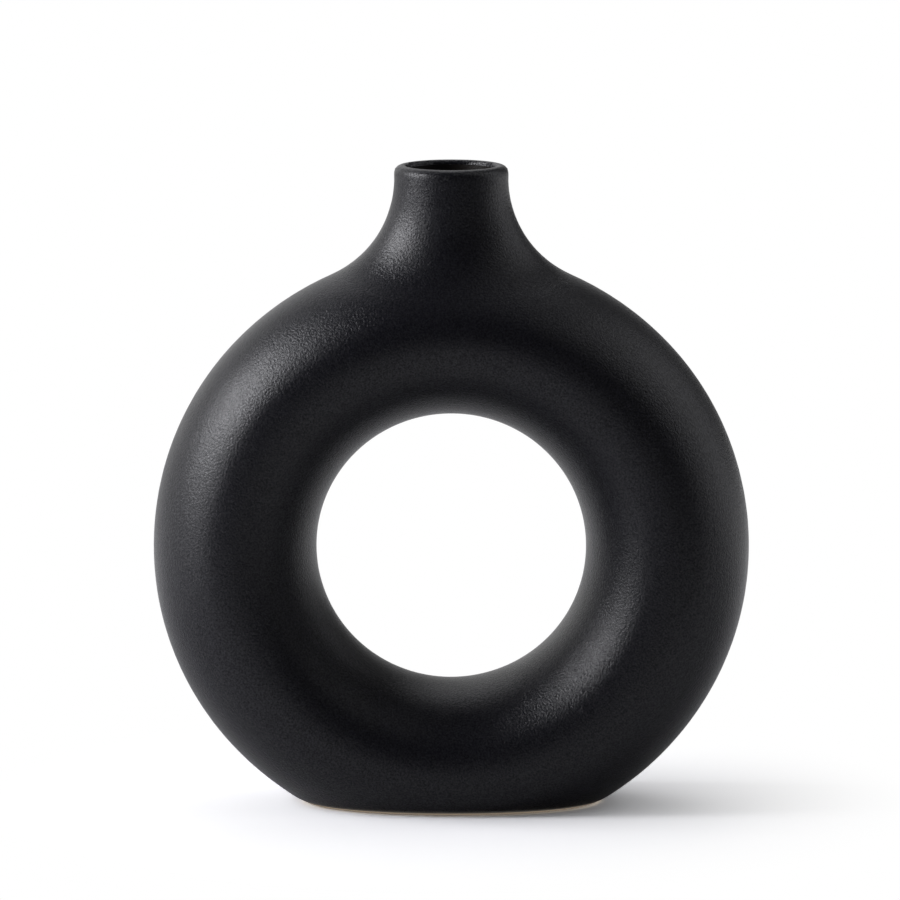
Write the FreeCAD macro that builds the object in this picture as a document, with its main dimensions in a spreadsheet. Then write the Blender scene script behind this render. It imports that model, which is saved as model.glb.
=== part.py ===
"""Donut vase: a hollow stoneware ring that stands on a flat oval foot, with a short flared neck.

The ring is two clay half shells luted together on the plane of the ring. A collar stands on a hole in the
top of the ring and an oval slab closes the flat bottom. A matt glaze coats the outside, down to a bare band
at the foot, and a thinner glaze lines the inside, so that the clay holds water.

Frame: millimetres, +Z up, +X along the width of the ring, the front of the vase towards -Y.
The origin is the centre of the foot, on the surface that the vase stands on.
"""

import FreeCAD, Part
import math
import os

import Sketcher

Vector = FreeCAD.Vector

SIZES = {
    "ring_width": (220.0, "outside width of the ring"),
    "tube_width": (60.4, "tube, measured in the plane of the ring"),
    "tube_depth": (76.0, "tube, measured from the front to the back"),
    "side_radius": (22.0, "tighter arcs of the tube's oval section, at the front and the back"),
    "foot_cut": (14.6, "slice taken off the bottom of the ring, so that it stands"),
    "clay_wall": (4.5, "clay wall of the ring"),
    "mouth_width": (41.8, "outside width of the neck at the lip"),
    "lip_wall": (4.9, "whole wall of the neck at the lip, glazes included"),
    "lip_flat": (0.3, "flat that is left on top of the rounded lip"),
    "neck_taper": (2.5, "degrees that the neck opens on its way down"),
    "neck_sweep": (39.5, "radius of the sweep from the neck into the ring, outside"),
    "neck_straight": (4.6, "straight stretch of the neck above the outside sweep"),
    "bore_sweep": (24.0, "radius of the sweep from the bore into the ring, on the clay"),
    "slab_thickness": (6.0, "oval slab that closes the bottom"),
    "foot_rounding": (1.5, "rounded lower edge of the foot"),
    "foot_rim": (7.0, "width of the flat rim that touches the table"),
    "recess_depth": (1.2, "hollow under the foot, inside the rim"),
    "bare_band": (1.2, "height of the bare clay under the edge of the outer glaze"),
    "outer_coat": (0.5, "thickness of the outer glaze"),
    "liner_coat": (0.4, "thickness of the glaze inside"),
    "overrun": (20.0, "how far every cutting shape runs past what it cuts"),
}

# The outer edge of the lip takes the larger share of its rounding.
LIP_OUTER_SHARE = 0.65

# Expressions in the sheet's sizes, shared by the sketches. Every height is measured from the table.
RING_RADIUS = "(sizes.ring_width / 2)"
TUBE_CENTRE = "((sizes.ring_width - sizes.tube_width) / 2)"
RING_HEIGHT = f"({RING_RADIUS} - sizes.foot_cut)"
CROWN_HEIGHT = f"({RING_HEIGHT} + {RING_RADIUS})"
NECK_ROOT = f"({RING_HEIGHT} + {TUBE_CENTRE})"

# The tube's section is an oval of four arcs: two wide ones on its crowns and two tighter ones on its sides,
# which run into each other. A surface under the glaze has the same four centres and smaller radii.
SIDE_CENTRE = "(sizes.tube_depth / 2 - sizes.side_radius)"
CROWN_ARC = (
    f"(((sizes.tube_width / 2) ^ 2 + {SIDE_CENTRE} ^ 2 - sizes.side_radius ^ 2)"
    " / (sizes.tube_width - 2 * sizes.side_radius))"
)
CROWN_OFFSET = f"({CROWN_ARC} - sizes.tube_width / 2)"

MOUTH_RADIUS = "(sizes.mouth_width / 2)"
BORE_RADIUS = f"({MOUTH_RADIUS} - sizes.lip_wall)"
# The circle of the outside sweep touches both the neck and the ring, so its centre lies one radius off each.
SWEEP_HEIGHT = (
    f"({RING_HEIGHT} + sqrt(({RING_RADIUS} + sizes.neck_sweep) ^ 2"
    f" - ({MOUTH_RADIUS} + sizes.neck_sweep) ^ 2))"
)
LIP_HEIGHT = f"({SWEEP_HEIGHT} + sizes.neck_straight)"
OUTER_ROUNDING = f"({LIP_OUTER_SHARE} * (sizes.lip_wall - sizes.lip_flat))"
INNER_ROUNDING = f"(sizes.lip_wall - sizes.lip_flat - {OUTER_ROUNDING})"

# The level plane that cuts the foot leaves an oval with these half sizes.
FOOT_HALF_WIDTH = f"sqrt({RING_RADIUS} ^ 2 - {RING_HEIGHT} ^ 2)"
FOOT_HALF_DEPTH = f"sqrt({CROWN_ARC} ^ 2 - ({RING_HEIGHT} - {TUBE_CENTRE} + {CROWN_OFFSET}) ^ 2)"

# Half sizes of the cutting shapes, which reach past the vase on every side.
BEYOND_SIDE = f"({RING_RADIUS} + sizes.overrun)"
BEYOND_BACK = "(sizes.tube_depth / 2 + sizes.overrun)"

# How deep each surface lies under the glazed outside of the ring.
CLAY_INSET = "sizes.outer_coat"
PARTING_INSET = "(sizes.outer_coat + sizes.clay_wall / 2)"
CAVITY_INSET = "(sizes.outer_coat + sizes.clay_wall)"
LINER_INSET = "(sizes.outer_coat + sizes.clay_wall + sizes.liner_coat)"

doc = FreeCAD.newDocument("donut_vase")


def fill_sheet():
    """One row for each driving dimension: what it is, and its value under its alias."""
    filled = doc.addObject("Spreadsheet::Sheet", "sizes")
    for row, (alias, (value, note)) in enumerate(SIZES.items(), start=1):
        filled.set(f"A{row}", note)
        filled.set(f"B{row}", str(value))
        filled.setAlias(f"B{row}", alias)
    doc.recompute()
    return filled


sheet = fill_sheet()


def value_of(expression):
    """The number that an expression in the sheet's sizes comes to now."""
    return float(sheet.evalExpression(str(expression)))


def body_plane(body, role):
    return next(feature for feature in body.Origin.OriginFeatures if feature.Role == role)


def sketch_on(body, name, role, height="0"):
    """A sketch on one of the body's own origin planes, lifted to a height above it."""
    sketch = body.newObject("Sketcher::SketchObject", name)
    sketch.AttachmentSupport = (body_plane(body, role), "")
    sketch.MapMode = "FlatFace"
    sketch.setExpression(".AttachmentOffset.Base.z", height)
    return sketch


def bind(sketch, name, expression, *constraint):
    """Adds a dimension to a sketch and ties it to the sheet."""
    index = sketch.addConstraint(Sketcher.Constraint(*constraint, value_of(expression)))
    sketch.renameConstraint(index, name)
    sketch.setExpression(f"Constraints.{name}", expression)


def draw_ellipse(sketch, half_width, half_depth):
    """An ellipse round the sketch's origin, lying along X."""
    right, top = Vector(value_of(half_width), 0, 0), Vector(0, value_of(half_depth), 0)
    ellipse = sketch.addGeometry(Part.Ellipse(right, top, Vector()))
    sketch.exposeInternalGeometry(ellipse)
    major, minor = ellipse + 1, ellipse + 2
    sketch.addConstraint(Sketcher.Constraint("Coincident", ellipse, 3, -1, 1))
    sketch.addConstraint(Sketcher.Constraint("Horizontal", major))
    bind(sketch, "width", f"2 * {half_width}", "Distance", major)
    bind(sketch, "depth", f"2 * {half_depth}", "Distance", minor)


def draw_tube(sketch, inset):
    """The tube's oval section on the sketch's X axis, as four arcs that run into each other in turn."""
    outer_centre, inner_centre = f"{TUBE_CENTRE} - {CROWN_OFFSET}", f"{TUBE_CENTRE} + {CROWN_OFFSET}"
    crown, side = f"{CROWN_ARC} - {inset}", f"sizes.side_radius - {inset}"
    middle, reach = value_of(TUBE_CENTRE), value_of(SIDE_CENTRE)
    turn = math.atan2(reach, value_of(CROWN_OFFSET))
    centres = (
        (Vector(value_of(outer_centre), 0, 0), crown, -turn, turn),
        (Vector(middle, reach, 0), side, turn, math.pi - turn),
        (Vector(value_of(inner_centre), 0, 0), crown, math.pi - turn, math.pi + turn),
        (Vector(middle, -reach, 0), side, math.pi + turn, -turn),
    )
    up = Vector(0, 0, 1)
    outer, back, inner, front = [
        sketch.addGeometry(Part.ArcOfCircle(Part.Circle(centre, up, value_of(radius)), start, end))
        for centre, radius, start, end in centres
    ]
    for arc, following in ((outer, back), (back, inner), (inner, front), (front, outer)):
        sketch.addConstraint(Sketcher.Constraint("Tangent", arc, 2, following, 1))
    for arc in (outer, inner):
        sketch.addConstraint(Sketcher.Constraint("PointOnObject", arc, 3, -1))
    sketch.addConstraint(Sketcher.Constraint("Equal", outer, inner))
    sketch.addConstraint(Sketcher.Constraint("Equal", front, back))
    bind(sketch, "outer_centre", outer_centre, "DistanceX", -1, 1, outer, 3)
    bind(sketch, "inner_centre", inner_centre, "DistanceX", -1, 1, inner, 3)
    bind(sketch, "crown_radius", crown, "Radius", outer)
    bind(sketch, "side_radius", side, "Radius", front)


def draw_profile(sketch, corners):
    """A closed outline of straight lines through corners that are pairs of expressions."""
    points = [Vector(value_of(x), value_of(y), 0) for x, y in corners]
    for start, end in zip(points, points[1:] + points[:1]):
        sketch.addGeometry(Part.LineSegment(start, end))
    count = len(corners)
    for line, (x, y) in enumerate(corners):
        sketch.addConstraint(Sketcher.Constraint("Coincident", line, 2, (line + 1) % count, 1))
        for name, axis, kind, place in (("across", -2, "DistanceX", x), ("up", -1, "DistanceY", y)):
            if value_of(place):
                bind(sketch, f"{name}_{line}", place, kind, -1, 1, line, 1)
            else:
                sketch.addConstraint(Sketcher.Constraint("PointOnObject", line, 1, axis))


def revolve(body, name, sketch):
    turned = body.newObject("PartDesign::Revolution", name)
    turned.Profile = sketch
    turned.ReferenceAxis = (sketch, ["V_Axis"])
    return turned


def curved_edges(shape, low, high):
    """The numbers of the curved edges whose ends all lie between two heights."""
    bottom, top = value_of(low), value_of(high)
    return [
        number
        for number, edge in enumerate(shape.Edges, start=1)
        if edge.Curve.TypeId != "Part::GeomLine" and all(bottom < end.Z < top for end in edge.Vertexes)
    ]


def round_edges(body, name, numbers, radius):
    solid = body.Tip
    rounding = body.newObject("PartDesign::Fillet", name)
    rounding.Base = (solid, [f"Edge{number}" for number in numbers])
    rounding.setExpression("Radius", radius)
    return rounding


def add_ring(body, inset):
    """The ring: an oval tube bent round the Y axis, at the height of the ring's centre."""
    section = sketch_on(body, f"{body.Name}_tube", "XY_Plane", RING_HEIGHT)
    draw_tube(section, inset)
    revolve(body, f"{body.Name}_ring", section)


def add_neck(body, corners, sweep):
    """The neck stands on the middle of the tube and runs into the ring in one rolling sweep."""
    profile = sketch_on(body, f"{body.Name}_neck_profile", "XZ_Plane")
    draw_profile(profile, corners)
    revolve(body, f"{body.Name}_neck", profile)
    doc.recompute()
    seam = curved_edges(body.Shape, NECK_ROOT, SWEEP_HEIGHT)
    round_edges(body, f"{body.Name}_sweep", seam, sweep)


def round_lip(body, height, radius):
    """Rounds the narrowest ring edge at the lip: the only one outside, and the bore's own edge inside."""
    doc.recompute()
    reach = "sizes.neck_straight / 2"
    at_lip = curved_edges(body.Shape, f"{height} - {reach}", f"{height} + {reach}")
    narrowest = min(at_lip, key=lambda number: body.Shape.Edges[number - 1].Curve.Radius)
    round_edges(body, f"{body.Name}_lip", [narrowest], radius)


def cut_level(body, height):
    """Cuts away everything that lies below a height."""
    outline = sketch_on(body, f"{body.Name}_floor_outline", "XY_Plane", height)
    corners = [
        (f"-{BEYOND_SIDE}", f"-{BEYOND_BACK}"),
        (BEYOND_SIDE, f"-{BEYOND_BACK}"),
        (BEYOND_SIDE, BEYOND_BACK),
        (f"-{BEYOND_SIDE}", BEYOND_BACK),
    ]
    draw_profile(outline, corners)
    floor = body.newObject("PartDesign::Pocket", f"{body.Name}_floor")
    floor.Profile = outline
    floor.Type = "ThroughAll"


def outer_form(name, inset, floor):
    """A filled vase with a tapered neck: the surface of the glaze, or of the clay under it."""
    body = doc.addObject("PartDesign::Body", name)
    add_ring(body, inset)
    lip = f"({LIP_HEIGHT} - {inset})"
    mouth = f"({MOUTH_RADIUS} - {inset})"
    root = f"({mouth} + ({LIP_HEIGHT} - {NECK_ROOT}) * tan(sizes.neck_taper))"
    corners = [("0", NECK_ROOT), (root, NECK_ROOT), (mouth, lip), ("0", lip)]
    add_neck(body, corners, f"sizes.neck_sweep + {inset}")
    round_lip(body, lip, f"{OUTER_ROUNDING} - {inset}")
    cut_level(body, floor)
    doc.recompute()
    return body


def hollow_form(name, inset, floor, bore, lip, rounding, sweep):
    """What is inside a surface of the wall: a ring with a straight bore that opens over the rounded lip."""
    body = doc.addObject("PartDesign::Body", name)
    add_ring(body, inset)
    over = f"({lip} + sizes.overrun)"
    corners = [
        ("0", NECK_ROOT),
        (bore, NECK_ROOT),
        (bore, lip),
        (MOUTH_RADIUS, lip),
        (MOUTH_RADIUS, over),
        ("0", over),
    ]
    add_neck(body, corners, sweep)
    round_lip(body, lip, rounding)
    cut_level(body, floor)
    doc.recompute()
    return body


def parting_form():
    """A filled vase through the middle of the clay, up to where the rounding of the lip starts inside."""
    body = doc.addObject("PartDesign::Body", "parting_form")
    add_ring(body, PARTING_INSET)
    middle = f"({MOUTH_RADIUS} - sizes.lip_wall / 2)"
    top = f"({LIP_HEIGHT} - {INNER_ROUNDING})"
    corners = [("0", NECK_ROOT), (middle, NECK_ROOT), (middle, top), ("0", top)]
    add_neck(body, corners, "(sizes.neck_sweep + sizes.bore_sweep) / 2")
    cut_level(body, "sizes.slab_thickness / 2")
    return body


def finish_foot(body):
    """Rounds the clay's lower edge and hollows its underside, so that only an oval rim touches the table."""
    lower = curved_edges(body.Shape, "-sizes.foot_rounding", "sizes.foot_rounding")
    round_edges(body, "foot_edge", lower, "sizes.foot_rounding")
    outline = sketch_on(body, "recess_outline", "XY_Plane")
    draw_ellipse(outline, f"({FOOT_HALF_WIDTH} - sizes.foot_rim)", f"({FOOT_HALF_DEPTH} - sizes.foot_rim)")
    recess = body.newObject("PartDesign::Pocket", "recess")
    recess.Profile = outline
    recess.Reversed = True
    recess.setExpression("Length", "sizes.recess_depth")
    doc.recompute()


def block(name, low, high, front, back):
    """A box as wide as the vase, from one height to another and from front to back."""
    box = doc.addObject("Part::Box", name)
    box.setExpression("Length", f"2 * {BEYOND_SIDE}")
    box.setExpression("Width", f"{back} - {front}")
    box.setExpression("Height", f"{high} - {low}")
    box.setExpression("Placement.Base.x", f"-{BEYOND_SIDE}")
    box.setExpression("Placement.Base.y", front)
    box.setExpression("Placement.Base.z", low)
    return box


def combine(kind, name, base, tool):
    """One solid with another. Its faces aren't merged, because a merged one can upset the next cut."""
    result = doc.addObject(kind, name)
    result.Base = base
    result.Tool = tool
    result.Refine = False
    result.Label = name
    return result


def front_and_back_shells(clay_wall):
    """The ring's two halves meet on its own plane. They end at the slab below and at the collar above."""
    halves = (("front_shell", f"-{BEYOND_BACK}", "0"), ("back_shell", "0", BEYOND_BACK))
    return [
        combine(
            "Part::Common",
            name,
            clay_wall,
            block(f"{name}_block", "sizes.slab_thickness", CROWN_HEIGHT, front, back),
        )
        for name, front, back in halves
    ]


def neck_collar(clay_wall):
    """The collar stands on the ring's crown, on a level joint that both half shells share."""
    top = f"({LIP_HEIGHT} + sizes.overrun)"
    above = block("collar_block", CROWN_HEIGHT, top, f"-{BEYOND_BACK}", BEYOND_BACK)
    return combine("Part::Common", "neck_collar", clay_wall, above)


def foot_slab(clay_wall):
    """The slab closes the bottom: its edge carries on the ring's own surface, down to the table."""
    below = block("slab_block", "-sizes.overrun", "sizes.slab_thickness", f"-{BEYOND_BACK}", BEYOND_BACK)
    return combine("Part::Common", "foot_slab", clay_wall, below)


def glaze_coats(glaze_form, liner_form, clay_wall):
    """All the glaze lies between the glazed vase and its clay. The parting form divides it."""
    glazed_wall = combine("Part::Cut", "glazed_wall", glaze_form, liner_form)
    all_glaze = combine("Part::Cut", "all_glaze", glazed_wall, clay_wall)
    parting = parting_form()
    outer = combine("Part::Cut", "outer_glaze", all_glaze, parting)
    liner = combine("Part::Common", "liner_glaze", all_glaze, parting)
    return [outer, liner]


def check(parts):
    """Stops where an object failed, or where a piece isn't one sound solid."""
    failed = [item.Name for item in doc.Objects if {"Invalid", "Error"} & set(item.State)]
    if failed:
        raise RuntimeError(f"failed objects: {failed}")
    for piece in parts:
        shape = piece.Shape
        if shape.isNull() or not shape.isValid() or len(shape.Solids) != 1:
            raise RuntimeError(f"{piece.Label} isn't one sound solid")
        print(f"{piece.Label}: {shape.Volume:.0f} cubic millimetres, {len(shape.Faces)} faces")


def build():
    clay_form = outer_form("clay_form", CLAY_INSET, "0")
    finish_foot(clay_form)
    glaze_form = outer_form("glaze_form", "0", "sizes.bare_band")
    cavity_form = hollow_form(
        "cavity_form",
        CAVITY_INSET,
        "sizes.slab_thickness",
        f"({BORE_RADIUS} + sizes.liner_coat)",
        f"({LIP_HEIGHT} - sizes.outer_coat)",
        f"{INNER_ROUNDING} - sizes.liner_coat",
        "sizes.bore_sweep",
    )
    liner_form = hollow_form(
        "liner_form",
        LINER_INSET,
        "sizes.slab_thickness + sizes.liner_coat",
        BORE_RADIUS,
        LIP_HEIGHT,
        INNER_ROUNDING,
        "sizes.bore_sweep + sizes.liner_coat",
    )
    clay_wall = combine("Part::Cut", "clay_wall", clay_form, cavity_form)
    parts = [*front_and_back_shells(clay_wall), neck_collar(clay_wall), foot_slab(clay_wall)]
    parts += glaze_coats(glaze_form, liner_form, clay_wall)
    doc.recompute()
    return parts


pieces = build()
check(pieces)
os.makedirs("parts", exist_ok=True)
for piece in pieces:
    piece.Shape.exportStep(f"parts/{piece.Label}.step")
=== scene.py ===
# %% [markdown]
# # A donut vase in matt black stoneware
# The vase is an upright hollow ring on a flat oval foot, with a short neck that flares into the ring. Its clay is
# already there as exact solids. This lesson gives it what a solid doesn't have: a glaze that melted and settled, a
# bare foot, and the light of a small photo studio. Everything is in metres, with Z up and the front towards -Y.

# %% Load the solids
import math

import bmesh
import bpy
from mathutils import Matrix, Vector, noise
from mathutils.bvhtree import BVHTree


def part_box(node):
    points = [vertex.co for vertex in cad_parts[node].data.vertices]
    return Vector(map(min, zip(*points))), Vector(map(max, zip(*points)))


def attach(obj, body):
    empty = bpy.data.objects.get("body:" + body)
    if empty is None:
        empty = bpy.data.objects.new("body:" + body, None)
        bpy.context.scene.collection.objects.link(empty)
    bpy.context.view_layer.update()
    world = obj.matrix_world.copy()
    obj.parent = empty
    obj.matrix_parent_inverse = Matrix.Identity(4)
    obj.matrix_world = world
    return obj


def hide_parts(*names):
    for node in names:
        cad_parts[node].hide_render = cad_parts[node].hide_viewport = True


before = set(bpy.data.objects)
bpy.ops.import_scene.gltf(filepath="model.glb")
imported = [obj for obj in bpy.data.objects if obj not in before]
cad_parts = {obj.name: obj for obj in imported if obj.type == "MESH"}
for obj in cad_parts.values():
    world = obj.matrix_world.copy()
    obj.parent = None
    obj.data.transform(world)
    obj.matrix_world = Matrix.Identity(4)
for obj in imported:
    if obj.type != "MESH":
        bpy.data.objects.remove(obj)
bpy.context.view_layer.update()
MM = 0.001
print("solids:", ", ".join(sorted(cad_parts)))

# %% [markdown]
# ## Read the sizes off the solids
# Nothing is measured twice. The glaze gives the width of the ring and the height of the lip, the collar starts at
# the ring's crown, and so the centre of the ring lies one radius below that.

# %% Heights and radii
glaze_low, glaze_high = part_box("outer_glaze")
ring_radius = glaze_high.x
crown_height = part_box("neck_collar")[0].z
ring_height = crown_height - ring_radius
lip_height = glaze_high.z
band_height = glaze_low.z
print(f"ring centre {ring_height / MM:.1f} mm up, lip at {lip_height / MM:.1f} mm")
print(f"bare band {band_height / MM:.1f} mm high")

# %% [markdown]
# ## Place the camera
# A long lens far away keeps the ring round. The camera looks down a little, so the mouth shows as a thin oval and
# the back of the foot is hidden. A camera points along its own -Z axis, so it is first tipped up by a right angle
# and then down again by the tilt. The vase stands a hair right of the middle, so the camera moves left by as much.

# %% Camera
CAMERA_DISTANCE = 3.0
CAMERA_ELEVATION = math.radians(9.03)
CAMERA_TILT = math.radians(8.364)
CAMERA_LEFT = 0.475 * MM
LENS_MM = 329.2
SENSOR_MM = 36.0

camera_data = bpy.data.cameras.new("camera")
camera_data.lens = LENS_MM
camera_data.sensor_width = SENSOR_MM
camera = bpy.data.objects.new("camera", camera_data)
camera_height = ring_height + CAMERA_DISTANCE * math.tan(CAMERA_ELEVATION)
camera.location = (-CAMERA_LEFT, -CAMERA_DISTANCE, camera_height)
camera.rotation_euler = (math.radians(90) - CAMERA_TILT, 0, 0)
bpy.context.scene.collection.objects.link(camera)
bpy.context.scene.camera = camera
bpy.context.scene.view_settings.view_transform = "Standard"
print(f"camera {camera_height:.3f} m up")

# %% [markdown]
# ## Small helpers
# Nodes are placed and wired by name. One helper fills a node's inputs: it sets the plain ones and plugs in whatever
# is a socket. Three more make what nearly every material needs: a sum, a change of range and a mix of two colours.


# %% Node helpers
def plug(node, **inputs):
    """Fills inputs by name, where _ stands for a space, or by number: _0 is the first one."""
    for name, value in inputs.items():
        socket = node.inputs[int(name[1:])] if name[1:].isdigit() else node.inputs[name.replace("_", " ")]
        if isinstance(value, bpy.types.NodeSocket):
            node.id_data.links.new(value, socket)
        else:
            socket.default_value = value
    return node


def add_node(tree, kind, props=None, **inputs):
    node = tree.nodes.new(kind)
    for name, value in (props or {}).items():
        setattr(node, name, value)
    return plug(node, **inputs)


def calculate(tree, operation, first, second):
    return add_node(tree, "ShaderNodeMath", {"operation": operation}, _0=first, _1=second).outputs[0]


def spread(tree, value, start, end, low=0.0, high=1.0, kind="LINEAR"):
    """Turns the range from start to end into the one from low to high, and stops at its ends."""
    return add_node(tree, "ShaderNodeMapRange", {"interpolation_type": kind}, Value=value, From_Min=start,
                    From_Max=end, To_Min=low, To_Max=high).outputs[0]


def blend(tree, share, first, second):
    """Mixes two colours. Inputs 6 and 7 and output 2 of the node are the ones for colours."""
    return add_node(tree, "ShaderNodeMix", {"data_type": "RGBA"}, _0=share, _6=first, _7=second).outputs[2]


# %% Group and material helpers
def new_group(name, inputs, output):
    """An empty shader group. Inputs hold (socket name, first value). Returns its tree and its two ends."""
    tree = bpy.data.node_groups.new(name, "ShaderNodeTree")
    for label, value in inputs:
        made = tree.interface.new_socket(name=label, in_out="INPUT", socket_type="NodeSocketFloat")
        made.default_value = value
    tree.interface.new_socket(name=output, in_out="OUTPUT", socket_type="NodeSocketFloat")
    return tree, tree.nodes.new("NodeGroupInput").outputs, tree.nodes.new("NodeGroupOutput")


def use_group(tree, group, **inputs):
    return add_node(tree, "ShaderNodeGroup", {"node_tree": group}, **inputs).outputs[0]


def new_material(name):
    """A material with one Principled shader, returned with its node tree."""
    material = bpy.data.materials.new(name)
    material.use_nodes = True
    return material, material.node_tree, material.node_tree.nodes["Principled BSDF"]


def add_piece(name, mesh):
    piece = bpy.data.objects.new(name, mesh)
    bpy.context.scene.collection.objects.link(piece)
    return piece


# %% [markdown]
# ## The table
# The vase stands on a seamless white table. Its picture is exposed for the black glaze, so the white paper comes
# out several times brighter and only the vase's shadow keeps some grey. The camera therefore sees the paper with
# more light than it really sends back, and from two hands' widths on it sees plain white. The glaze and the lamps
# meet the paper as it is, with a glow behind the vase where a real backdrop curves up. The paper is clear from
# below, and for rays that start right above it at the foot, so that the underside can be looked at too.

# %% Paper for the picture and for the light
WHITE = (1, 1, 1, 1)
PAPER_COLOUR = (0.65, 0.65, 0.66, 1)
PAPER_SEEN = (1.71, 1.71, 1.73, 1)
WHITE_FROM, WHITE_AT = 0.03, 0.18
SWEEP_FROM, SWEEP_AT, SWEEP_LIGHT = 0.0, 0.5, 0.38


def paper_for_camera(tree, place):
    away = add_node(tree, "ShaderNodeVectorMath", {"operation": "LENGTH"}, _0=place).outputs["Value"]
    whiter = spread(tree, away, WHITE_FROM, WHITE_AT, kind="SMOOTHSTEP")
    near = add_node(tree, "ShaderNodeBsdfDiffuse", Color=PAPER_SEEN).outputs[0]
    far = add_node(tree, "ShaderNodeEmission", Color=WHITE, Strength=1.0).outputs[0]
    return add_node(tree, "ShaderNodeMixShader", _0=whiter, _1=near, _2=far).outputs[0]


def paper_for_light(tree, place):
    paper = add_node(tree, "ShaderNodeBsdfDiffuse", Color=PAPER_COLOUR).outputs[0]
    depth = add_node(tree, "ShaderNodeSeparateXYZ", Vector=place).outputs["Y"]
    rise = spread(tree, depth, SWEEP_FROM, SWEEP_AT, high=SWEEP_LIGHT, kind="SMOOTHSTEP")
    sweep = add_node(tree, "ShaderNodeEmission", Color=WHITE, Strength=rise).outputs[0]
    return add_node(tree, "ShaderNodeAddShader", _0=paper, _1=sweep).outputs[0]


# %% Paper
FOOT_GAP = 2 * MM


def make_paper():
    material = bpy.data.materials.new("seamless_white_table")
    material.use_nodes = True
    tree = material.node_tree
    tree.nodes.clear()
    place = add_node(tree, "ShaderNodeTexCoord").outputs["Object"]
    path = add_node(tree, "ShaderNodeLightPath").outputs
    seen = add_node(tree, "ShaderNodeMixShader", _0=path["Is Camera Ray"], _1=paper_for_light(tree, place),
                    _2=paper_for_camera(tree, place)).outputs[0]
    below = add_node(tree, "ShaderNodeNewGeometry").outputs["Backfacing"]
    under_foot = calculate(tree, "LESS_THAN", path["Ray Length"], FOOT_GAP)
    opened = calculate(tree, "MAXIMUM", below, under_foot)
    clear = add_node(tree, "ShaderNodeBsdfTransparent").outputs[0]
    whole = add_node(tree, "ShaderNodeMixShader", _0=opened, _1=seen, _2=clear).outputs[0]
    add_node(tree, "ShaderNodeOutputMaterial", Surface=whole)
    return material


# %% Floor
FLOOR_REACH = 7.0
FLOOR_DROP = 0.05 * MM


def make_floor():
    """One square, a hair below the foot, so that the two don't share a place."""
    mesh = bpy.data.meshes.new("floor")
    corners = [(x * FLOOR_REACH, y * FLOOR_REACH, 0) for x, y in ((-1, -1), (1, -1), (1, 1), (-1, 1))]
    mesh.from_pydata(corners, [], [(0, 1, 2, 3)])
    mesh.materials.append(make_paper())
    floor = add_piece("floor", mesh)
    floor.location.z = -FLOOR_DROP
    return floor


make_floor()
print(f"table {2 * FLOOR_REACH:.0f} m wide, plain white {WHITE_AT / MM:.0f} mm from the middle")

# %% [markdown]
# ## The room
# The world is white for the camera too. For the glaze the room is nearly dark, with a soft white wall behind the
# vase and a corner at its left: that gives the ring its bright rims and its black face. A third wall below the
# table only lights the vase when it is looked at from underneath. A wall's start and end are cosines of the angle
# from its middle.

# %% World
ROOM_DIM = 0.055
# Name, direction, where it starts, where it is full, and how bright it is.
WALLS = (
    ("back wall", (-0.4, 1, 0), 0.60, 0.98, 0.44),
    ("left back corner", (-1, 0.8, 0), 0.40, 0.95, 0.36),
    ("below the table", (0, 0, -1), 0.10, 0.60, 0.40),
)


def add_wall(tree, direction, label, towards, start, full, strength):
    facing = add_node(tree, "ShaderNodeVectorMath", {"operation": "DOT_PRODUCT"}, _0=direction,
                      _1=Vector(towards).normalized()).outputs["Value"]
    wall = spread(tree, facing, start, full, high=strength, kind="SMOOTHSTEP")
    wall.node.label = label
    return wall


def make_world():
    world = bpy.data.worlds.new("studio")
    world.use_nodes = True
    bpy.context.scene.world = world
    tree = world.node_tree
    tree.nodes.clear()
    direction = add_node(tree, "ShaderNodeTexCoord").outputs["Generated"]
    room = ROOM_DIM
    for wall in WALLS:
        room = calculate(tree, "ADD", add_wall(tree, direction, *wall), room)
    path = add_node(tree, "ShaderNodeLightPath").outputs
    studio = add_node(tree, "ShaderNodeBackground", Color=WHITE, Strength=room).outputs[0]
    white = add_node(tree, "ShaderNodeBackground", Color=WHITE, Strength=1.0).outputs[0]
    mix = add_node(tree, "ShaderNodeMixShader", _0=path["Is Camera Ray"], _1=studio, _2=white).outputs[0]
    add_node(tree, "ShaderNodeOutputWorld", Surface=mix)


make_world()
print("walls:", ", ".join(wall[0] for wall in WALLS))

# %% [markdown]
# ## The lamps
# Two softboxes stand at the left: a small bright one that looks down on the vase, and a large weak sheet below it
# that draws the light out along the arm and the neck. Each place on the ring that mirrors them to the camera
# shines: the upper left arm, the left of the neck and the lower right of the hole. Two weak reflectors soften the
# right side, and a lamp high behind the vase lights the lip and the lower rim of the hole.

# %% Lamps
LAMP_DISTANCE = 1.4
LAMP_COLOUR = (0.965, 0.965, 1.0)
# Name, degrees to the left of the camera, degrees up, side in metres, watts.
SOFTBOXES = (
    ("key_softbox", 85, 31, 0.6, 11.3),
    ("left_sheet", 74, 17, 0.9, 5.6),
    ("right_reflector", -105, 22, 1.3, 3.0),
    ("high_reflector", -80, 56, 1.2, 1.2),
    ("back_softbox", 172, 58, 1.0, 2.6),
)


def add_softbox(name, left_turn, elevation, size, watts):
    """A square area lamp that looks at the middle of the ring."""
    turn, rise = math.radians(left_turn), math.radians(elevation)
    direction = Vector((-math.sin(turn) * math.cos(rise), -math.cos(turn) * math.cos(rise), math.sin(rise)))
    data = bpy.data.lights.new(name, "AREA")
    data.size = size
    data.energy = watts
    data.color = LAMP_COLOUR
    lamp = bpy.data.objects.new(name, data)
    lamp.location = Vector((0, 0, ring_height)) + direction * LAMP_DISTANCE
    lamp.rotation_euler = (-direction).to_track_quat("-Z", "Y").to_euler()
    bpy.context.scene.collection.objects.link(lamp)


for softbox in SOFTBOXES:
    add_softbox(*softbox)
print("softboxes:", len(SOFTBOXES))

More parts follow.
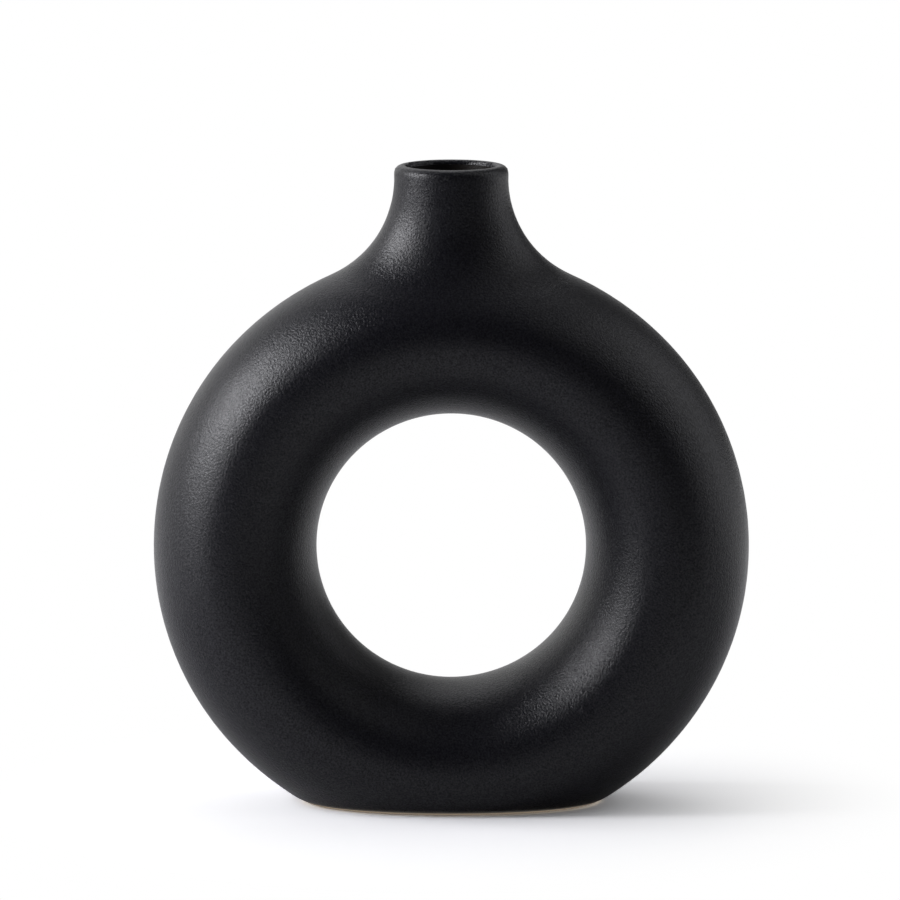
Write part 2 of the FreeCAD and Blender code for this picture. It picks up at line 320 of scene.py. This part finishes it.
# %% [markdown]
# ## The skin of the glaze
# Glaze melts into one skin without an edge, but the solid's mesh is made of long flat strips. So all six solids are
# joined and turned into an even mesh with the Remesh modifier, which keeps only their common surface. Two level
# cuts divide it: at the top of the bare band, and where the rounding of the lip meets the bore. What lies outside
# is the glaze. The lip's rounding is tight, so the faces near it are divided into finer ones.

# %% Mesh helpers
ON_CUT = 0.001 * MM


def apply_modifiers(piece):
    """Keeps the mesh that the modifiers make, and drops the modifiers."""
    graph = bpy.context.evaluated_depsgraph_get()
    made = bpy.data.meshes.new_from_object(piece.evaluated_get(graph))
    piece.modifiers.clear()
    piece.data = made


def joined_copy(name, nodes):
    shape = bmesh.new()
    for node in nodes:
        shape.from_mesh(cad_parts[node].data)
    mesh = bpy.data.meshes.new(name)
    shape.to_mesh(mesh)
    shape.free()
    return add_piece(name, mesh)


def surface_of(piece):
    """A search tree that finds the nearest place on a piece."""
    return BVHTree.FromObject(piece, bpy.context.evaluated_depsgraph_get())


def distance(surface, place):
    return surface.find_nearest(place)[3]


def cut_level(shape, height, normal, drop_below=False):
    """Cuts a mesh with a plane through a point on the middle axis. Returns the cut's points and edges."""
    everything = shape.verts[:] + shape.edges[:] + shape.faces[:]
    return bmesh.ops.bisect_plane(shape, geom=everything, dist=ON_CUT, plane_co=(0, 0, height), plane_no=normal,
                                  clear_inner=drop_below)["geom_cut"]


# %% Cut the glaze out of the common surface
SKIN_VOXEL = 2.0 * MM
UPWARDS = (0, 0, 1)
LIP_CUT = lip_height - 1.61 * MM
FINE_FROM, FINE_ROUNDS = lip_height - 5 * MM, 2


def cut_skin(piece):
    """Leaves the outside: above the bare band, round the lip, and down to where the bore begins."""
    outside, inside = surface_of(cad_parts["outer_glaze"]), surface_of(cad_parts["liner_glaze"])
    shape = bmesh.new()
    shape.from_mesh(piece.data)
    cut_level(shape, band_height, UPWARDS, drop_below=True)
    cut_level(shape, LIP_CUT, UPWARDS)
    inner = []
    for face in shape.faces:
        centre = face.calc_center_median()
        if centre.z < LIP_CUT and distance(inside, centre) < distance(outside, centre):
            inner.append(face)
    bmesh.ops.delete(shape, geom=inner, context="FACES")
    for _ in range(FINE_ROUNDS):
        near_lip = [edge for edge in shape.edges if all(corner.co.z > FINE_FROM for corner in edge.verts)]
        bmesh.ops.subdivide_edges(shape, edges=near_lip, cuts=1, use_grid_fill=True)
    shape.to_mesh(piece.data)
    shape.free()


glaze = joined_copy("black_glaze", sorted(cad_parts))
remesh = glaze.modifiers.new("remesh", "REMESH")
remesh.mode = "VOXEL"
remesh.voxel_size = SKIN_VOXEL
apply_modifiers(glaze)
print("common surface:", len(glaze.data.polygons), "faces")
cut_skin(glaze)
print("outside skin:", len(glaze.data.polygons), "faces")

# %% [markdown]
# ## Settle the skin
# Every point is laid on the nearest place of the glaze's outer surface. The solid of the glaze has an inner surface
# too, half a millimetre below, and points must not land there, so its faces that touch the clay are left out first.
# The lip and the top of the neck are round, and there even small strips show in the light. So their outline is
# turned anew in fine steps, as on a potter's wheel, and the points go over to it on the way up. The cut edges only
# move sideways, because the band and the bore begin at an exact height. Smooth then takes away the last strips.

# %% The surface to lie on
TOUCHING = 0.1 * MM
LATHE_FROM, LATHE_ALL = lip_height - 7.5 * MM, lip_height - 4.5 * MM
LATHE_STEPS = 256
BACKWARDS = (0, 1, 0)


def outer_surface():
    """The faces of the glaze that don't lie on the clay."""
    clay = joined_copy("clay", [node for node in sorted(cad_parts) if "glaze" not in node])
    clay_surface = surface_of(clay)
    bpy.data.objects.remove(clay)
    shape = bmesh.new()
    shape.from_mesh(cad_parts["outer_glaze"].data)
    hidden = [face for face in shape.faces if distance(clay_surface, face.calc_center_median()) < TOUCHING]
    bmesh.ops.delete(shape, geom=hidden, context="FACES")
    print("outer faces of the glaze:", len(shape.faces), "of", len(shape.faces) + len(hidden))
    return shape


def turned_lip(outer):
    """The upper neck and lip, turned from the outline that the middle plane cuts."""
    outline = outer.copy()
    edges = [item for item in cut_level(outline, 0, BACKWARDS) if isinstance(item, bmesh.types.BMEdge)
             and all(corner.co.x > 0 and corner.co.z > LATHE_FROM - MM for corner in item.verts)]
    lathe = bmesh.new()
    for edge in edges:
        lathe.edges.new([lathe.verts.new(corner.co) for corner in edge.verts])
    print("outline of the lip:", len(edges), "lines")
    bmesh.ops.spin(lathe, geom=lathe.verts[:] + lathe.edges[:], cent=(0, 0, 0), axis=UPWARDS, angle=math.tau,
                   steps=LATHE_STEPS)
    outline.free()
    return lathe


# %% Lay the skin on it and smooth it
SMOOTH_ROUNDS = 8
SMOOTH_SHARE = 0.5


def lay_on(piece):
    """Moves each point onto the surface. Returns a vertex group of the points that aren't on a cut edge."""
    outer = outer_surface()
    lathe = turned_lip(outer)
    ring_surface, lip_surface = BVHTree.FromBMesh(outer), BVHTree.FromBMesh(lathe)
    outer.free()
    lathe.free()
    shape = bmesh.new()
    shape.from_mesh(piece.data)
    free = []
    for corner in shape.verts:
        level = corner.co.z
        turned = min(1.0, max(0.0, (level - LATHE_FROM) / (LATHE_ALL - LATHE_FROM)))
        on_lip = lip_surface.find_nearest(corner.co)[0]
        corner.co = ring_surface.find_nearest(corner.co)[0].lerp(on_lip, turned)
        if corner.is_boundary:
            corner.co.z = level
        else:
            free.append(corner.index)
    shape.to_mesh(piece.data)
    shape.free()
    group = piece.vertex_groups.new(name="free")
    group.add(free, 1.0, "REPLACE")
    return group.name


smooth = glaze.modifiers.new("smooth", "SMOOTH")
smooth.factor = SMOOTH_SHARE
smooth.iterations = SMOOTH_ROUNDS
smooth.vertex_group = lay_on(glaze)
apply_modifiers(glaze)

# %% [markdown]
# ## A hand was here
# A slip-cast ring is never quite true: the clay shrinks unevenly and the glaze runs a little thicker in places.
# Slow noise moves the surface by up to a sixth of a millimetre, always inwards, so the vase stays inside its
# measured size. A finer noise gives the skin the shallow dimples of orange peel. Then the skin gets a thickness,
# so that it is a closed body, like the coat that it stands for.

# %% Uneven surface
WANDER_SIZE, WANDER_DEPTH = 45 * MM, 0.16 * MM
PEEL_SIZE, PEEL_DEPTH = 5 * MM, 0.02 * MM
EDGE_FADE = 6 * MM
SOLID_SKIN = 0.3 * MM


def ripple(place, size, depth):
    """Noise between nothing and the full depth, with waves of one size."""
    return depth * (1 + noise.noise(place / size)) / 2


def unevenness(place):
    """How deep the surface lies below the true one. At the band and the lip it is nothing."""
    fade = min(1.0, (place.z - band_height) / EDGE_FADE, (lip_height - place.z) / EDGE_FADE)
    return max(0.0, fade) * (ripple(place, WANDER_SIZE, WANDER_DEPTH) + ripple(place, PEEL_SIZE, PEEL_DEPTH))


outward = [Vector(point.normal) for point in glaze.data.vertices]
for point, normal in zip(glaze.data.vertices, outward):
    point.co -= normal * unevenness(point.co)
thicken = glaze.modifiers.new("thickness", "SOLIDIFY")
thicken.thickness = SOLID_SKIN
thicken.offset = -1
apply_modifiers(glaze)
glaze.data.shade_smooth()
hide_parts("outer_glaze")
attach(glaze, "root")
print("finished skin:", len(glaze.data.polygons), "faces")

# %% [markdown]
# ## Finishes that several materials share
# Three effects come back: a fine pebbled grain, scattered specks, and a slow drift of tone. Each is one shader
# group that takes its sizes from outside, so that a glaze and a clay can use it with their own values. A texture's
# scale counts how often it repeats in a metre, so each group divides one by the size that it is given.

# %% Fine grain
GRAIN_DETAIL, GRAIN_ROUGHNESS = 3.0, 0.6


def place_and_scale(tree, size):
    """The two inputs that every texture here needs."""
    return {"Vector": add_node(tree, "ShaderNodeTexCoord").outputs["Object"],
            "Scale": calculate(tree, "DIVIDE", 1.0, size)}


def make_grain():
    """Height goes from 0 to 1. Size is the width of one grain in metres."""
    tree, given, end = new_group("fine_grain", [("Size", 1 * MM)], "Height")
    grain = add_node(tree, "ShaderNodeTexNoise", Detail=GRAIN_DETAIL, Roughness=GRAIN_ROUGHNESS,
                     **place_and_scale(tree, given["Size"])).outputs[0]
    plug(end, Height=grain)
    return tree


# %% Specks
def make_specks():
    """Mask is 1 on a speck. Share is the part of the cells that hold one, Radius its size against its cell."""
    tree, given, end = new_group("specks", [("Cell Size", 4 * MM), ("Share", 0.1), ("Radius", 0.1)], "Mask")
    cells = add_node(tree, "ShaderNodeTexVoronoi", **place_and_scale(tree, given["Cell Size"])).outputs
    chosen = add_node(tree, "ShaderNodeSeparateXYZ", Vector=cells["Color"]).outputs["X"]
    holds = calculate(tree, "LESS_THAN", chosen, given["Share"])
    near = spread(tree, cells["Distance"], 0.0, given["Radius"], low=1.0, high=0.0)
    plug(end, Mask=calculate(tree, "MULTIPLY", holds, near))
    return tree


# %% Slow drift
DRIFT_DETAIL = 2.0


def make_drift():
    """A value from 0 to 1 that changes slowly over the surface."""
    tree, given, end = new_group("slow_drift", [("Size", 50 * MM)], "Value")
    drift = add_node(tree, "ShaderNodeTexNoise", Detail=DRIFT_DETAIL,
                     **place_and_scale(tree, given["Size"])).outputs[0]
    plug(end, Value=drift)
    return tree


fine_grain, specks, slow_drift = make_grain(), make_specks(), make_drift()
print("shader groups:", fine_grain.name, specks.name, slow_drift.name)

# %% [markdown]
# ## Matt black glaze
# A matt glaze is a glassy skin full of tiny crystals. Its gloss is broad, and in the highlight its grain sparkles.
# So the colour is nearly black and a little blue, and a crystal shines more than the glass round it. The pebbled
# grain, a bump of a quarter of a millimetre, breaks the highlight up and widens it, so the glass itself needn't be
# rough. A few pale specks are crystals that grew larger.

# %% Black glaze
PEBBLE_SIZE, PEBBLE_HEIGHT = 0.8 * MM, 0.23 * MM
CRYSTAL_SIZE, CRYSTAL_FROM, CRYSTAL_AT = 0.7 * MM, 0.35, 0.65
GLASS_COLOUR, CRYSTAL_COLOUR = (0.0030, 0.0030, 0.0062, 1), (0.0075, 0.0074, 0.0120, 1)
GLASS_SHINE, CRYSTAL_SHINE = 0.32, 0.68
PALE_CELL, PALE_SHARE, PALE_RADIUS, PALE_COLOUR = 7 * MM, 0.16, 0.035, (0.06, 0.06, 0.06, 1)
BLACK_DRIFT, BLACK_ROUGHNESS = 60 * MM, (0.28, 0.33)
# Noise seldom comes near 0 or 1, so the drift's middle part is spread over the whole range.
DRIFT_FROM, DRIFT_AT = 0.3, 0.7


def make_black_glaze():
    material, tree, shader = new_material("matt_black_glaze")
    crystals = use_group(tree, fine_grain, Size=CRYSTAL_SIZE)
    sparkle = spread(tree, crystals, CRYSTAL_FROM, CRYSTAL_AT)
    shine = spread(tree, crystals, CRYSTAL_FROM, CRYSTAL_AT, GLASS_SHINE, CRYSTAL_SHINE)
    body = blend(tree, sparkle, GLASS_COLOUR, CRYSTAL_COLOUR)
    pale = use_group(tree, specks, Cell_Size=PALE_CELL, Share=PALE_SHARE, Radius=PALE_RADIUS)
    drift = use_group(tree, slow_drift, Size=BLACK_DRIFT)
    rough = spread(tree, drift, DRIFT_FROM, DRIFT_AT, *BLACK_ROUGHNESS)
    pebbles = use_group(tree, fine_grain, Size=PEBBLE_SIZE)
    bump = add_node(tree, "ShaderNodeBump", Strength=1.0, Distance=PEBBLE_HEIGHT, Height=pebbles).outputs[0]
    plug(shader, Base_Color=blend(tree, pale, body, PALE_COLOUR), Specular_IOR_Level=shine, Roughness=rough,
         Normal=bump)
    return material


glaze.data.materials.clear()
glaze.data.materials.append(make_black_glaze())
print("glaze:", glaze.data.materials[0].name)

# %% [markdown]
# ## Liner glaze
# Inside, the glaze is thin over the clay, so it shows brown-black. Its grain is flatter there.

# %% Liner
LINER_DRIFT, LINER_ROUGHNESS = 15 * MM, (0.36, 0.44)
LINER_DARK, LINER_BROWN = (0.006, 0.0045, 0.0035, 1), (0.012, 0.008, 0.006, 1)
LINER_GRAIN, LINER_BUMP, LINER_STRENGTH = 0.8 * MM, 0.08 * MM, 0.6


def make_liner_glaze():
    material, tree, shader = new_material("liner_glaze")
    drift = use_group(tree, slow_drift, Size=LINER_DRIFT)
    colour = blend(tree, drift, LINER_DARK, LINER_BROWN)
    rough = spread(tree, drift, DRIFT_FROM, DRIFT_AT, *LINER_ROUGHNESS)
    grain = use_group(tree, fine_grain, Size=LINER_GRAIN)
    bump = add_node(tree, "ShaderNodeBump", Strength=LINER_STRENGTH, Distance=LINER_BUMP,
                    Height=grain).outputs[0]
    plug(shader, Base_Color=colour, Roughness=rough, Normal=bump)
    return material


# %% [markdown]
# ## Bare clay
# The foot is left bare, because glaze would stick it to the kiln shelf. Fired stoneware is tan with dark grog in
# it. Painted shade darkens the band in brown just under the glaze edge and along the bottom, where it stands in
# for the foot's contact shadow on the table. The same clay without this painted shade is under all the glaze.

# %% Stoneware
CLAY_DRIFT, CLAY_DARK, CLAY_LIGHT = 20 * MM, (0.56, 0.45, 0.33, 1), (0.68, 0.56, 0.42, 1)
GROG_CELL, GROG_SHARE, GROG_RADIUS, GROG_COLOUR = 1.6 * MM, 0.25, 0.25, (0.12, 0.07, 0.045, 1)
CLAY_GRAIN, CLAY_BUMP, CLAY_STRENGTH, CLAY_ROUGHNESS = 0.5 * MM, 0.1 * MM, 0.7, 0.85
# The brown of the painted shade on the bare band.
PAINTED_SHADE_COLOUR = (0.07, 0.04, 0.025, 1)
# How much painted shade browns the clay, from the bottom of the foot at 0 up to the glaze at 1.
TABLE_EDGE_SHADE, GLAZE_EDGE_SHADE = 0.9, 1.0
BAND_SHADE_STEPS = ((0.2, 0.6), (0.3, 0.0), (0.72, 0.0), (0.84, 0.8))


# Painted shade: brown under the glaze edge, and at the bottom as the foot's contact shadow; the middle stays light.
def painted_band_shade(tree):
    place = add_node(tree, "ShaderNodeTexCoord").outputs["Object"]
    height = add_node(tree, "ShaderNodeSeparateXYZ", Vector=place).outputs["Z"]
    lines = add_node(tree, "ShaderNodeValToRGB", _0=spread(tree, height, 0.0, band_height))
    marks = lines.color_ramp.elements
    marks[0].color = (TABLE_EDGE_SHADE, TABLE_EDGE_SHADE, TABLE_EDGE_SHADE, 1)
    marks[1].color = (GLAZE_EDGE_SHADE, GLAZE_EDGE_SHADE, GLAZE_EDGE_SHADE, 1)
    for position, shade_share in BAND_SHADE_STEPS:
        marks.new(position).color = (shade_share, shade_share, shade_share, 1)
    return lines.outputs[0]


def make_stoneware(name, band_shaded):
    material, tree, shader = new_material(name)
    clay = blend(tree, use_group(tree, slow_drift, Size=CLAY_DRIFT), CLAY_DARK, CLAY_LIGHT)
    grog = use_group(tree, specks, Cell_Size=GROG_CELL, Share=GROG_SHARE, Radius=GROG_RADIUS)
    clay = blend(tree, grog, clay, GROG_COLOUR)
    # Only the bare foot gets the painted shade at its edges.
    if band_shaded:
        clay = blend(tree, painted_band_shade(tree), clay, PAINTED_SHADE_COLOUR)
    grain = use_group(tree, fine_grain, Size=CLAY_GRAIN)
    bump = add_node(tree, "ShaderNodeBump", Strength=CLAY_STRENGTH, Distance=CLAY_BUMP,
                    Height=grain).outputs[0]
    plug(shader, Base_Color=clay, Roughness=CLAY_ROUGHNESS, Normal=bump)
    return material


# %% Finish the pieces
stoneware = make_stoneware("stoneware", band_shaded=False)
finishes = {
    "front_shell": stoneware,
    "back_shell": stoneware,
    "neck_collar": stoneware,
    "foot_slab": make_stoneware("bare_foot", band_shaded=True),
    "liner_glaze": make_liner_glaze(),
}
for node, material in finishes.items():
    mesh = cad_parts[node].data
    mesh.materials.clear()
    mesh.materials.append(material)
print("finishes:", ", ".join(finishes))
